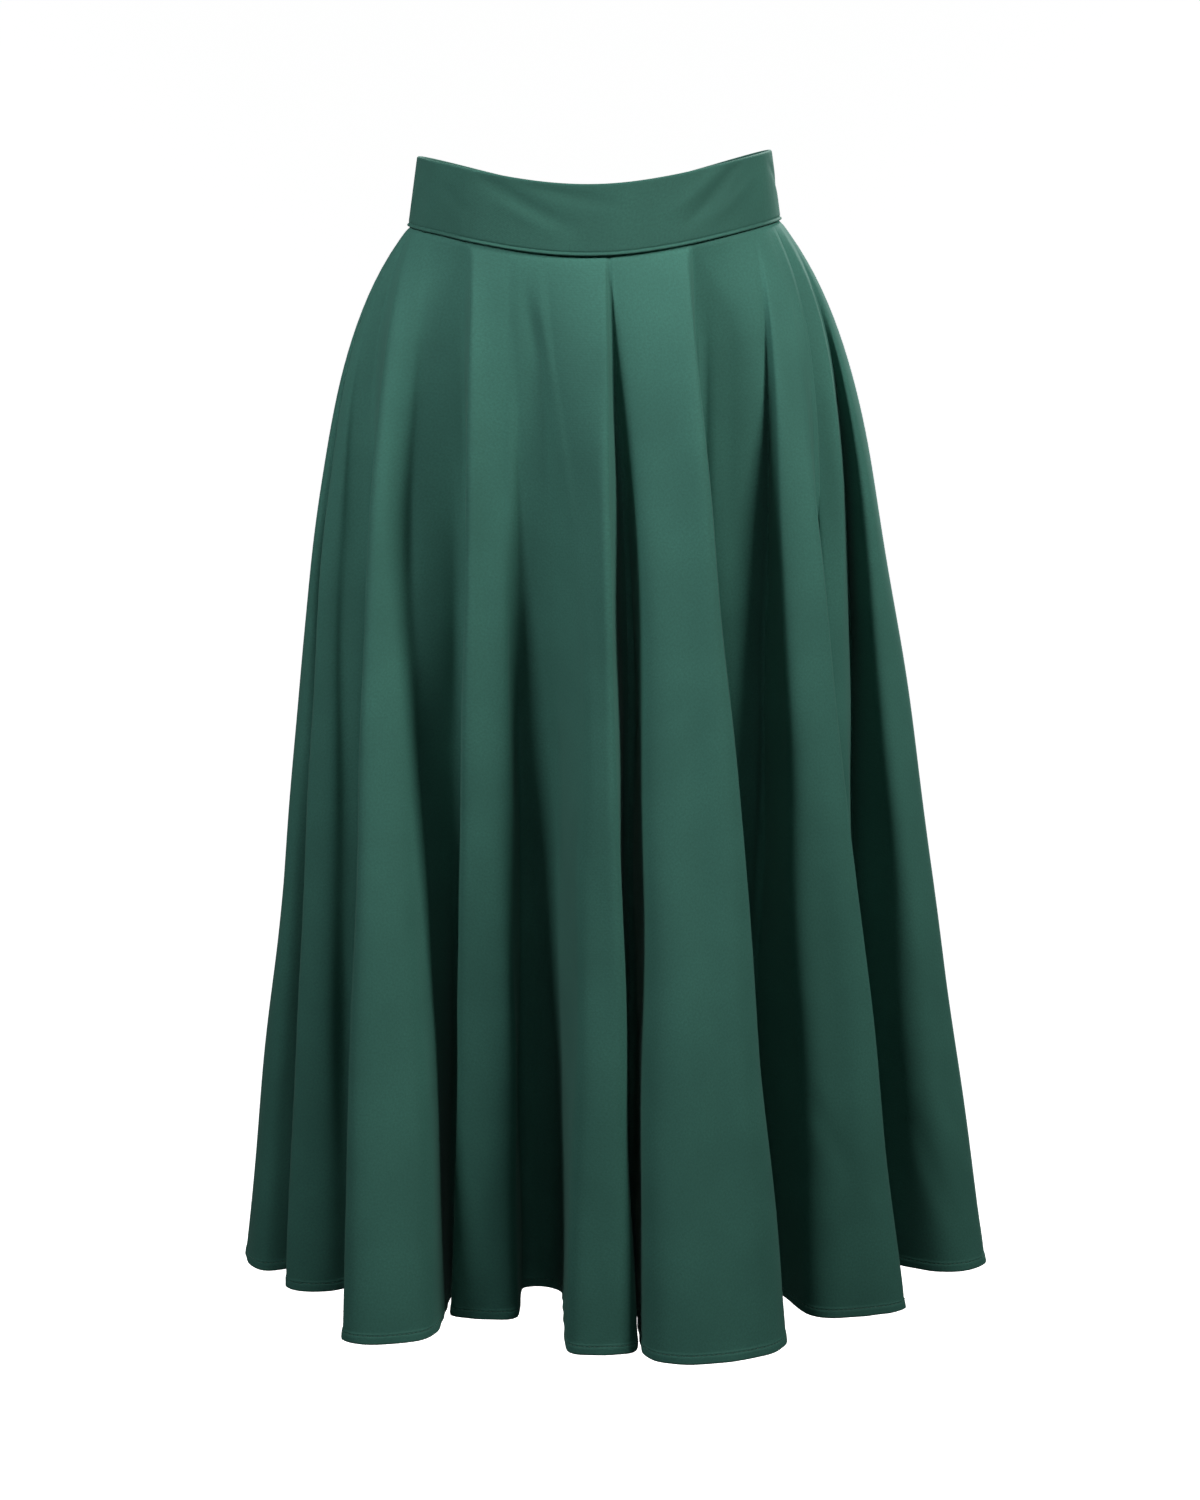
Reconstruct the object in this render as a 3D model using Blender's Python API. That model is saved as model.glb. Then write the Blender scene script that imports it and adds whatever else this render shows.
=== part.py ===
"""Circle skirt with a plain shaped waistband and a centre back zip, in the form it keeps when worn.

Run with: blender --background --python part.py

Units are metres and +Z is up.  The front faces -Y.  The origin is the middle of the waist opening, half
way up the waistband at the side seams.  Left and right are the wearer's, so the wearer's left is +X.
Round the skirt, an angle is 0 at the centre front, 90 at the left side and 180 at the centre back.

The cloth hangs from the waist seam in eighteen folds.  Each fold is a ridge, where the cloth stands out,
and a trough after it, where the cloth goes in.  A guide runs down each edge of a ridge and of a trough,
from its place on the waist seam to its place on the hem, and at every height one closed curve passes
along all the guides.  A table row holds one ridge or one trough.
"""
import math
from collections import namedtuple

import bmesh
import bpy
import numpy as np

MM = 0.001

# Waist seam, an ellipse seen from above, and the waistband that stands on it
SEAM_HALF_WIDTH = 122.6 * MM
SEAM_HALF_DEPTH = 100.0 * MM
BAND_TOP_HALF_WIDTH = 116.2 * MM
BAND_TOP_HALF_DEPTH = 94.5 * MM
BAND_HEIGHT = 46.0 * MM
FRONT_DIP = 18.0 * MM                 # how much lower the waist lies at the centre front than at the sides
BACK_DIP = 25.0 * MM                  # the same at the centre back
WAIST_TILT = math.radians(1.0)        # the left side sits a little higher than the right

SKIRT_DROP = 719.0 * MM               # from the waist seam at a side down to the hem
BELLY_START = 0.1                     # share of the drop in which the cloth swings out over the hips
HIP_TURN = 9                          # the higher, the nearer a side the push over the hips turns sideways
SWAY_START = 0.25                     # share of the drop in which a fold sways to a side

SKIRT_WALL = 1.5 * MM
BAND_WALL = 2.4 * MM
SEAM_GAP = 0.3 * MM                   # between neighbouring pieces

# Where the guides of one ridge, trough or wall between them stand, as shares of its width
RIDGE_STEPS = (-0.5, -0.3, 0.3, 0.5)
TROUGH_STEPS = (-0.5, 0.0, 0.5)
WALL_STEPS = (0.16, 0.84)
GUIDES_IN_FOLD = len(RIDGE_STEPS) + len(TROUGH_STEPS) + 2 * len(WALL_STEPS)
TROUGH_MIDDLE = len(RIDGE_STEPS) + len(WALL_STEPS) + 1      # its number among the guides of the fold

# Heights of the rings of points, as shares of the drop, and how dense the columns are
SKIRT_RINGS = (0.0, 0.03, 0.07, 0.12, 0.19, 0.28, 0.42, 0.61, 0.80, 1.0)
BAND_RINGS = (1.0, 0.67, 0.33, 0.0)
SKIRT_COLUMNS_PER_GUIDE = 1.3
BAND_COLUMNS_PER_GUIDE = 0.62

# Ridge and trough.  waist and spread: the middle and the width of its start on the seam, in degrees.
# angle and reach: where its middle stands on the hem, seen from the waist's centre.  width: at the hem.
# bow: how far its middle stands out there, as a share of its width.  lean: how far its face turns from
# square to the reach, in degrees.  hip: how far its middle is pushed out over the hips.  tilt: how much
# further its last edge is pushed out there than its first.  first and last: how far those two edges are
# swayed on round the skirt half way down.  lift: how much higher its hem hangs.  Lengths are in millimetres.
Fold = namedtuple("Fold", "waist spread angle reach width bow lean hip tilt first last lift")
FOLDS = (
    # ridge, then the trough after it
    ("front 1",
     Fold(-96.0, 8.0, -91.0, 233, 58, 0.26, 12, 48, 0, 0, 0, 3),
     Fold(-89.0, 2.0, -86.0, 166, 20, 0.22, 20, 46, 0, 0, 0, 4)),
    ("front 2",
     Fold(-84.0, 6.0, -76.0, 198, 44, 0.48, 66, 48, 0, 0, 0, 0),
     Fold(-78.0, 2.0, -67.0, 134, 24, 0.22, 30, 40, 0, 0, 0, 4)),
    ("front 3",
     Fold(-69.0, 13.0, -41.1, 207, 69, 0.38, 54, 36, -16, -6, -34, 0),
     Fold(-44.0, 2.0, -51.0, 113, 22, 0.22, 20, 10, 0, 0, 0, 4)),
    ("front 4",
     Fold(-33.5, 13.0, -31.4, 141, 47, 0.22, 22, 26, -16, 5, -6, 2),
     Fold(-20.0, 6.0, -26.0, 82, 32, 0.22, 8, 24, 0, 0, 10, 6)),
    ("front 5",
     Fold(-5.4, 16.4, 1.6, 188, 46, 0.26, 0, 22, 20, 32, -5, 0),
     Fold(4.5, 0.8, 18.5, 74, 12, 0.22, 0, 28, 0, 10, 16, 6)),
    ("front 6",
     Fold(17.5, 23.0, 23.3, 201, 105, 0.38, -1, 26, 30, 22, -4, 0),
     Fold(32.0, 2.0, 52.0, 109, 12, 0.22, -9, -6, 0, 0, 0, 8)),
    ("front 7",
     Fold(41.0, 14.0, 59.0, 110, 16, 0.22, -17, 6, 22, -10, -10, 8),
     Fold(55.0, 2.0, 65.0, 113, 12, 0.22, -20, 33, 0, 0, 0, 8)),
    ("front 8",
     Fold(62.5, 7.5, 59.8, 206, 71, 0.25, -43, 31, -2, -16, -29, 0),
     Fold(70.5, 1.5, 71.5, 148, 18, 0.22, -10, 43, 0, -10, -10, 6)),
    ("front 9",
     Fold(74.5, 5.0, 74.5, 178, 34, 0.22, -14, 40, 16, -14, -24, 0),
     Fold(82.0, 2.0, 91.0, 182, 16, 0.22, -10, 44, 0, 10, 16, 4)),
    ("left side",
     Fold(91.0, 8.0, 88.0, 249, 56, 0.50, -50, 43, 0, -20, 0, 4),
     Fold(99.0, 4.0, 103.0, 118, 24, 0.30, 6, 50, 0, 0, 0, 4)),
    ("back 1",
     Fold(109.0, 9.0, 108.0, 248, 64, 0.34, -12, 46, 0, 0, 0, 0),
     Fold(118.5, 4.0, 119.0, 108, 26, 0.30, -8, 50, 0, 0, 0, 5)),
    ("back 2",
     Fold(127.0, 8.0, 127.5, 232, 56, 0.34, 10, 44, 0, 0, 0, 0),
     Fold(137.0, 5.0, 137.0, 102, 28, 0.30, 6, 46, 0, 0, 0, 5)),
    ("back 3",
     Fold(148.0, 10.0, 148.0, 238, 72, 0.34, -8, 42, 0, 0, 0, 0),
     Fold(160.0, 5.0, 159.0, 98, 26, 0.30, -4, 42, 0, 0, 0, 5)),
    ("back 4",
     Fold(169.0, 7.0, 168.5, 226, 54, 0.34, 12, 40, 0, 0, 0, 0),
     Fold(180.0, 4.0, 180.0, 100, 26, 0.30, 0, 40, 0, 0, 0, 5)),
    ("back 5",
     Fold(192.5, 10.0, 191.5, 234, 68, 0.34, -6, 40, 0, 0, 0, 0),
     Fold(204.0, 5.0, 203.5, 98, 28, 0.30, 4, 44, 0, 0, 0, 5)),
    ("back 6",
     Fold(213.0, 7.0, 212.5, 222, 54, 0.34, -14, 42, 0, 0, 0, 0),
     Fold(222.5, 5.0, 221.0, 106, 26, 0.30, 0, 46, 0, 0, 0, 5)),
    ("back 7",
     Fold(233.0, 9.0, 231.5, 242, 66, 0.34, 8, 44, 0, 0, 0, 0),
     Fold(243.0, 4.0, 242.5, 106, 26, 0.30, 4, 50, 0, 0, 0, 5)),
    ("back 8",
     Fold(251.0, 7.0, 250.0, 236, 56, 0.34, 14, 46, 0, 0, 0, 0),
     Fold(258.0, 3.0, 259.0, 118, 22, 0.30, 0, 50, 0, 0, 0, 4)),
)

# The seams run down troughs.  Each is named by the fold before it.
RIGHT_SIDE_SEAM = "back 8"
CENTRE_FRONT_SEAM = "front 5"
LEFT_SIDE_SEAM = "left side"
CENTRE_BACK_SEAM = "back 4"

# Zip in the centre back seam, inside the cloth, and its slider and pull tab outside the waistband
ZIP_TAPE_WIDTH = 16.0 * MM
ZIP_TAPE_WALL = 0.8 * MM
ZIP_TAPE_COLUMNS = 5
ZIP_BAND_RINGS = (0.93, 0.5, 0.06, -0.02)
ZIP_SKIRT_RINGS = (0.03, 0.07, 0.12, 0.17, 0.22)
SLIDER_BELOW_TOP = 8.0 * MM
SLIDER_LENGTH = 9.0 * MM
SLIDER_WIDTH = 6.0 * MM
SLIDER_PLATE = 1.4 * MM
ARCH_WIDTH = 1.4 * MM
ARCH_WALL = 0.9 * MM
ARCH_HALF_LENGTH = 2.1 * MM           # outside, along the slider
ARCH_HEIGHT = 2.6 * MM                # outside, above the plate
PULL_WALL = 0.9 * MM
PULL_AXIS_HEIGHT = 0.85 * MM          # of its hinge line above the plate
PULL_TOP_HALF_WIDTH = 2.1 * MM
PULL_END_RADIUS = 2.7 * MM
PULL_LENGTH = 22.0 * MM               # from the hinge line to the middle of the round end
PULL_EYE_HALF_WIDTH = 1.2 * MM
PULL_EYE_LENGTH = 2.6 * MM
ARC_STEPS = 10


def heading(angle):
    """Level unit vector that points away from the waist's centre at an angle in degrees."""
    turn = math.radians(angle)
    return np.array([math.sin(turn), -math.cos(turn)])


def hip_push(angle):
    """Level unit vector in which the hips push the cloth: mostly forward or back, and sideways at a side."""
    along = heading(angle)
    push = np.array([along[0] ** HIP_TURN, along[1]])
    return push / np.linalg.norm(push)


def seam_point(angle):
    """Point of the waist seam, seen from above."""
    return heading(angle) * (SEAM_HALF_WIDTH, SEAM_HALF_DEPTH)


def fold_guides(fold, steps, side):
    """Guides of one ridge, on side 1, or trough, on side -1: start, end, push, sway and lift."""
    middle = heading(fold.angle) * fold.reach * MM
    face = heading(fold.angle + fold.lean)
    along = heading(fold.angle + fold.lean + 90)
    guides = []
    for step in steps:
        waist = fold.waist + step * fold.spread
        crown = side * fold.bow * (1 - (2 * step) ** 2)
        end = middle + (along * step + face * crown) * fold.width * MM
        between = (waist + fold.angle) / 2
        push = hip_push(between) * (fold.hip + fold.tilt * step) * MM
        shift = fold.first + (fold.last - fold.first) * (step + 0.5)
        sway = heading(between + 90) * shift * MM
        guides.append((seam_point(waist), end, push, sway, fold.lift * MM))
    return guides


def all_guides():
    """The guides in groups, one for each ridge and each trough, in order round the skirt."""
    groups = []
    for _, ridge, trough in FOLDS:
        groups.append(fold_guides(ridge, RIDGE_STEPS, 1))
        groups.append(fold_guides(trough, TROUGH_STEPS, -1))
    return groups


GUIDES = all_guides()


def guide_points(share):
    """Where the guides stand at a share of the drop: x, y and lift, with two more on each wall between."""
    belly = (1 - math.exp(-share / BELLY_START)) * (1 - share)
    middle = (1 - math.exp(-(share / SWAY_START) ** 2)) * (1 - share)
    groups = []
    for guides in GUIDES:
        groups.append([np.append(start + (end - start) * share + push * belly + sway * middle, lift * share)
                       for start, end, push, sway, lift in guides])
    points = []
    for group, following in zip(groups, groups[1:] + groups[:1]):
        points.extend(group)
        points.extend(group[-1] + (following[0] - group[-1]) * step for step in WALL_STEPS)
    return np.array(points)


def smooth_loop(points, places):
    """Points of the closed cubic curve that follows the given ones.  A place is a number of a guide."""
    number = np.floor(places).astype(int)
    part = (places - number)[:, None]
    before, here, after, beyond = (points[(number + k) % len(points)] for k in (-1, 0, 1, 2))
    return ((1 - part) ** 3 * before + (3 * part**3 - 6 * part**2 + 4) * here
            + (-3 * part**3 + 3 * part**2 + 3 * part + 1) * after + part**3 * beyond) / 6


def seam_height(flat):
    """Height of the waist seam over points seen from above."""
    facing = flat[:, 1] / np.hypot(flat[:, 0], flat[:, 1])
    dip = np.where(facing < 0, FRONT_DIP, BACK_DIP)
    return math.tan(WAIST_TILT) * flat[:, 0] - dip * facing**2 - BAND_HEIGHT / 2


def skirt_ring(share, places):
    """Points of the middle of the skirt's wall at a share of the drop."""
    loop = smooth_loop(guide_points(share), places)
    hem = -SKIRT_DROP - BAND_HEIGHT / 2
    height = seam_height(loop) * (1 - share) + hem * share + loop[:, 2]
    return np.column_stack([loop[:, :2], height])


def band_ring(share, places):
    """Points of the middle of the waistband's wall, from 0 on the seam to 1 at its top edge."""
    ring = skirt_ring(0.0, places)
    top = np.array([BAND_TOP_HALF_WIDTH / SEAM_HALF_WIDTH, BAND_TOP_HALF_DEPTH / SEAM_HALF_DEPTH])
    ring[:, :2] *= 1 + (top - 1) * share
    ring[:, 2] += BAND_HEIGHT * share
    return ring


def outward(ring, share, places):
    """Level unit normals of a ring, pointing out of the garment."""
    step = 0.01
    along = (ring(share, places + step) - ring(share, places - step))[:, :2]
    normal = np.column_stack([along[:, 1], -along[:, 0], np.zeros(len(along))])
    return normal / np.linalg.norm(normal, axis=1, keepdims=True)


def seam_place(fold_name):
    """Number of the guide down the middle of the trough after a fold."""
    names = [name for name, _, _ in FOLDS]
    return names.index(fold_name) * GUIDES_IN_FOLD + TROUGH_MIDDLE


def panel_places(start_seam, end_seam, columns_per_guide):
    """Places of a panel's columns, from one seam on to the next."""
    start = seam_place(start_seam)
    end = seam_place(end_seam)
    if end < start:
        start -= len(FOLDS) * GUIDES_IN_FOLD
    return np.linspace(start, end, round((end - start) * columns_per_guide) + 1)


def make_material(name, colour, roughness, metallic=0.0):
    material = bpy.data.materials.new(name)
    material.use_nodes = True
    shader = material.node_tree.nodes["Principled BSDF"]
    shader.inputs["Base Color"].default_value = (*colour, 1)
    shader.inputs["Roughness"].default_value = roughness
    shader.inputs["Metallic"].default_value = metallic
    return material


def add_object(name, mesh, material):
    thing = bpy.data.objects.new(name, mesh)
    bpy.context.scene.collection.objects.link(thing)
    mesh.materials.append(material)
    return thing


def add_wall(name, middle, normals, wall, material):
    """Closed solid of a strip of cloth.  middle holds rows of points, the top row first."""
    rows, columns = middle.shape[:2]
    outer = middle + normals * wall / 2
    inner = middle - normals * wall / 2
    vertices = np.concatenate([outer.reshape(-1, 3), inner.reshape(-1, 3)])

    def corner(row, column, side):
        return side * rows * columns + row * columns + column

    faces = []
    for row in range(rows - 1):
        for column in range(columns - 1):
            quad = [(row, column), (row + 1, column), (row + 1, column + 1), (row, column + 1)]
            faces.append([corner(*place, 0) for place in quad])
            faces.append([corner(*place, 1) for place in reversed(quad)])
        for column, turned in ((0, False), (columns - 1, True)):
            end = [corner(row, column, 0), corner(row, column, 1),
                   corner(row + 1, column, 1), corner(row + 1, column, 0)]
            faces.append(end[::-1] if turned else end)
    for column in range(columns - 1):
        for row, turned in ((0, False), (rows - 1, True)):
            rim = [corner(row, column, 0), corner(row, column + 1, 0),
                   corner(row, column + 1, 1), corner(row, column, 1)]
            faces.append(rim[::-1] if turned else rim)
    mesh = bpy.data.meshes.new(name)
    mesh.from_pydata([tuple(vertex) for vertex in vertices], [], faces)
    mesh.shade_smooth()
    mesh.set_sharp_from_angle(angle=math.radians(40))
    return add_object(name, mesh, material)


def part_at_seams(middle):
    """Moves a panel's first and last columns in, so that neighbours stand apart by the seam gap."""
    for end, beside in ((0, 1), (-1, -2)):
        inward = middle[:, beside] - middle[:, end]
        inward /= np.linalg.norm(inward, axis=1, keepdims=True)
        middle[:, end] += inward * SEAM_GAP / 2


def skirt_panel(name, start_seam, end_seam, material):
    places = panel_places(start_seam, end_seam, SKIRT_COLUMNS_PER_GUIDE)
    middle = np.array([skirt_ring(share, places) for share in SKIRT_RINGS])
    normals = np.array([outward(skirt_ring, share, places) for share in SKIRT_RINGS])
    part_at_seams(middle)
    middle[0, :, 2] -= SEAM_GAP / 2
    return add_wall(name, middle, normals, SKIRT_WALL, material)


def band_piece(name, start_seam, end_seam, material):
    places = panel_places(start_seam, end_seam, BAND_COLUMNS_PER_GUIDE)
    middle = np.array([band_ring(share, places) for share in BAND_RINGS])
    normals = np.array([outward(band_ring, share, places) for share in BAND_RINGS])
    part_at_seams(middle)
    middle[-1, :, 2] += SEAM_GAP / 2
    return add_wall(name, middle, normals, BAND_WALL, material)


def tape_places(ring, share):
    """Places of the zip tape's columns, evenly spaced on each side of the centre back seam."""
    centre = seam_place(CENTRE_BACK_SEAM)
    places = np.linspace(centre - 5, centre + 5, 201)
    points = ring(share, places)
    run = np.append(0, np.cumsum(np.linalg.norm(np.diff(points, axis=0), axis=1)))
    run -= np.interp(centre, places, run)
    wanted = np.linspace(-ZIP_TAPE_WIDTH / 2, ZIP_TAPE_WIDTH / 2, ZIP_TAPE_COLUMNS)
    return np.interp(wanted, run, places)


def zip_tape(name, material):
    """Both tapes of the closed zip as one strip, just inside the waistband and the back panels."""
    inset = BAND_WALL / 2 + SEAM_GAP + ZIP_TAPE_WALL / 2
    rings = [(band_ring, share) for share in ZIP_BAND_RINGS] + [(skirt_ring, share) for share in ZIP_SKIRT_RINGS]
    middle, normals = [], []
    for ring, share in rings:
        places = tape_places(ring, share)
        normal = outward(ring, share, places)
        middle.append(ring(share, places) - normal * inset)
        normals.append(normal)
    return add_wall(name, np.array(middle), np.array(normals), ZIP_TAPE_WALL, material)


def arc(centre, radius, start, end):
    """Points of an arc, with angles in degrees."""
    turns = np.radians(np.linspace(start, end, ARC_STEPS + 1))
    return [(centre[0] + radius[0] * math.cos(turn), centre[1] + radius[1] * math.sin(turn)) for turn in turns]


def extruded(name, outline, depth, to_space):
    """Mesh of a flat outline drawn out to both sides by half the depth.  to_space places (u, v, w)."""
    shape = bmesh.new()
    rings = [[shape.verts.new(to_space(u, v, w)) for u, v in outline] for w in (-depth / 2, depth / 2)]
    count = len(outline)
    shape.faces.new(rings[0][::-1])
    shape.faces.new(rings[1])
    for k in range(count):
        shape.faces.new((rings[0][k], rings[0][(k + 1) % count], rings[1][(k + 1) % count], rings[1][k]))
    bmesh.ops.recalc_face_normals(shape, faces=shape.faces)
    mesh = bpy.data.meshes.new(name)
    shape.to_mesh(mesh)
    shape.free()
    return mesh


def combine(target, other, operation):
    """Joins a helper solid to a piece, or cuts it out, and keeps the helper out of the model."""
    other.hide_render = True
    other.display_type = "WIRE"
    other.parent = target.parent
    modifier = target.modifiers.new(operation.lower(), "BOOLEAN")
    modifier.operation = operation
    modifier.solver = "EXACT"
    modifier.object = other


def slider_frame():
    """Empty on the waistband's outer face at the centre back, with Y out of the cloth and Z up along it."""
    share = 1 - SLIDER_BELOW_TOP / BAND_HEIGHT
    place = band_ring(share, np.array([float(seam_place(CENTRE_BACK_SEAM))]))[0]
    slope = math.atan((SEAM_HALF_DEPTH - BAND_TOP_HALF_DEPTH) / BAND_HEIGHT)
    frame = bpy.data.objects.new("slider_frame", None)
    bpy.context.scene.collection.objects.link(frame)
    frame.location = place + np.array([0, BAND_WALL / 2 / math.cos(slope) + SEAM_GAP, 0])
    frame.rotation_euler = (slope, 0, 0)
    return frame


def zip_slider(name, frame, material):
    """Flat slider body with an arch on it, which the pull tab hangs from."""
    half = SLIDER_LENGTH / 2
    corner = SLIDER_WIDTH / 2
    sides = (arc((0, half - corner), (corner, corner), 0, 180)
             + arc((0, corner - half), (corner, corner), 180, 360))
    plate = extruded(name, sides, SLIDER_PLATE, lambda u, v, w: (u, w + SLIDER_PLATE / 2, v))
    slider = add_object(name, plate, material)
    slider.parent = frame
    sunk = -SLIDER_PLATE / 2
    hole = (ARCH_HALF_LENGTH - ARCH_WALL, ARCH_HEIGHT - ARCH_WALL)
    outline = ([(ARCH_HALF_LENGTH, sunk)] + arc((0, 0), (ARCH_HALF_LENGTH, ARCH_HEIGHT), 0, 180)
               + [(-ARCH_HALF_LENGTH, sunk), (-hole[0], sunk)] + arc((0, 0), hole, 180, 0) + [(hole[0], sunk)])
    arch_mesh = extruded("slider_arch", outline, ARCH_WIDTH, lambda u, v, w: (w, v + SLIDER_PLATE, u))
    arch = add_object("slider_arch", arch_mesh, material)
    combine(slider, arch, "UNION")
    return slider


def zip_pull(name, frame, material):
    """Pull tab with its origin on the hinge line.  Its top bar passes under the slider's arch."""
    top = PULL_WALL / 2
    outline = ([(-PULL_TOP_HALF_WIDTH, top)]
               + arc((0, -PULL_LENGTH), (PULL_END_RADIUS, PULL_END_RADIUS), 180, 360)
               + [(PULL_TOP_HALF_WIDTH, top)])
    mesh = extruded(name, outline, PULL_WALL, lambda u, v, w: (u, w, v))
    pull = add_object(name, mesh, material)
    pull.parent = frame
    pull.location = (0, SLIDER_PLATE + PULL_AXIS_HEIGHT, 0)
    eye_outline = [(-PULL_EYE_HALF_WIDTH, -top), (-PULL_EYE_HALF_WIDTH, -top - PULL_EYE_LENGTH),
                   (PULL_EYE_HALF_WIDTH, -top - PULL_EYE_LENGTH), (PULL_EYE_HALF_WIDTH, -top)]
    eye_mesh = extruded("pull_eye", eye_outline, 4 * PULL_WALL, lambda u, v, w: (u, w, v))
    eye = add_object("pull_eye", eye_mesh, material)
    eye.location = pull.location
    combine(pull, eye, "DIFFERENCE")
    return pull


def clear_scene():
    for thing in list(bpy.data.objects):
        bpy.data.objects.remove(thing, do_unlink=True)


def build():
    clear_scene()
    cloth = {"colour": (0.046, 0.170, 0.130), "roughness": 0.9}
    pieces = (
        (skirt_panel, "panel_front_right", RIGHT_SIDE_SEAM, CENTRE_FRONT_SEAM),
        (skirt_panel, "panel_front_left", CENTRE_FRONT_SEAM, LEFT_SIDE_SEAM),
        (skirt_panel, "panel_back_left", LEFT_SIDE_SEAM, CENTRE_BACK_SEAM),
        (skirt_panel, "panel_back_right", CENTRE_BACK_SEAM, RIGHT_SIDE_SEAM),
        (band_piece, "waistband_front", RIGHT_SIDE_SEAM, LEFT_SIDE_SEAM),
        (band_piece, "waistband_back_left", LEFT_SIDE_SEAM, CENTRE_BACK_SEAM),
        (band_piece, "waistband_back_right", CENTRE_BACK_SEAM, RIGHT_SIDE_SEAM),
    )
    for make, name, start_seam, end_seam in pieces:
        make(name, start_seam, end_seam, make_material(name, **cloth))
    zip_tape("zip_tape", make_material("zip_tape", (0.030, 0.110, 0.085), 0.85))
    frame = slider_frame()
    zip_slider("zip_slider", frame, make_material("zip_slider", (0.040, 0.140, 0.108), 0.4, 0.3))
    zip_pull("zip_pull", frame, make_material("zip_pull", (0.040, 0.140, 0.108), 0.4, 0.3))


build()
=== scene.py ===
# %% [markdown]
# # Circle skirt in bottle green crepe
#
# A circle skirt is cut as a ring of cloth and hung from its inner edge.  The outer edge is far longer than
# the body is round, so the spare cloth falls into deep folds.  This lesson dresses the rigid model of such a
# skirt: it reworks each cloth piece as a thin shell with a turned hem, seams, creases and a woven finish.
#
# Lengths are in metres and +Z is up.  The front faces -Y, and the wearer's left is +X.  The origin is the
# middle of the waist opening, half way up the waistband at the sides.

# %% Load the rigid model
import math
from collections import namedtuple

import bpy
import numpy as np
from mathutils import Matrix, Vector


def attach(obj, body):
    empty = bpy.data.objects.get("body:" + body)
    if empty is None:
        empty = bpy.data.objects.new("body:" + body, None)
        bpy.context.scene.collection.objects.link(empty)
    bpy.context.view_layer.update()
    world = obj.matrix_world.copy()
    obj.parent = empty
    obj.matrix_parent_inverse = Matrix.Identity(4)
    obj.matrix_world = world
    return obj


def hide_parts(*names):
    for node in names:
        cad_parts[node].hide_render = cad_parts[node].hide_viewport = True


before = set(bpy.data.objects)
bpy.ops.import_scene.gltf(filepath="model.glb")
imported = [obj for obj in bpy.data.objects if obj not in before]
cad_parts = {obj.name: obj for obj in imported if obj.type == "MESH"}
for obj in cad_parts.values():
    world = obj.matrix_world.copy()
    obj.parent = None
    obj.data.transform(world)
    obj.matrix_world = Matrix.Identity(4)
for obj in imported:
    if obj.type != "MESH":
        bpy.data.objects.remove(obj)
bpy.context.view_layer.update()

MM = 0.001

# %% [markdown]
# ## How the cloth hangs
#
# The waist seam is an ellipse seen from above.  Every fold starts on it, swings out over the hips and opens
# towards the hem.  A fold is a ridge, where the cloth stands out, and a trough after it, where it goes in.
# One table row holds both, with each one's place on the seam and on the hem.  The rigid model was made from
# the same table, so the cloth made here lies right on it.  A simulation could drape the ring of cloth too,
# but its folds would fall where they like, and these have to fall as they do on the real skirt.

# %% Sizes of the waist and the drop
SEAM_HALF_WIDTH = 122.6 * MM
SEAM_HALF_DEPTH = 100.0 * MM
BAND_TOP_HALF_WIDTH = 116.2 * MM
BAND_TOP_HALF_DEPTH = 94.5 * MM
BAND_HEIGHT = 46.0 * MM
FRONT_DIP = 18.0 * MM  # how much lower the waist lies at the centre front than at the sides
BACK_DIP = 25.0 * MM  # the same at the centre back
WAIST_TILT = math.radians(1.0)  # the left side sits a little higher than the right
SKIRT_DROP = 719.0 * MM  # from the waist seam at a side down to the hem
BELLY_START = 0.1  # share of the drop in which the cloth swings out over the hips
HIP_TURN = 9  # the higher, the nearer a side the push over the hips turns sideways
SWAY_START = 0.25  # share of the drop in which a fold sways to a side
SEAM_GAP = 0.02 * MM  # between neighbouring pieces of cloth, which are sewn together

# %% The folds
RIDGE_STEPS = (-0.5, -0.3, 0.3, 0.5)  # where guides run down a ridge, as shares of its width
TROUGH_STEPS = (-0.5, 0.0, 0.5)
WALL_STEPS = (0.16, 0.84)  # and down the wall between two of them
GUIDES_IN_FOLD = len(RIDGE_STEPS) + len(TROUGH_STEPS) + 2 * len(WALL_STEPS)
TROUGH_MIDDLE = len(RIDGE_STEPS) + len(WALL_STEPS) + 1

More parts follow.
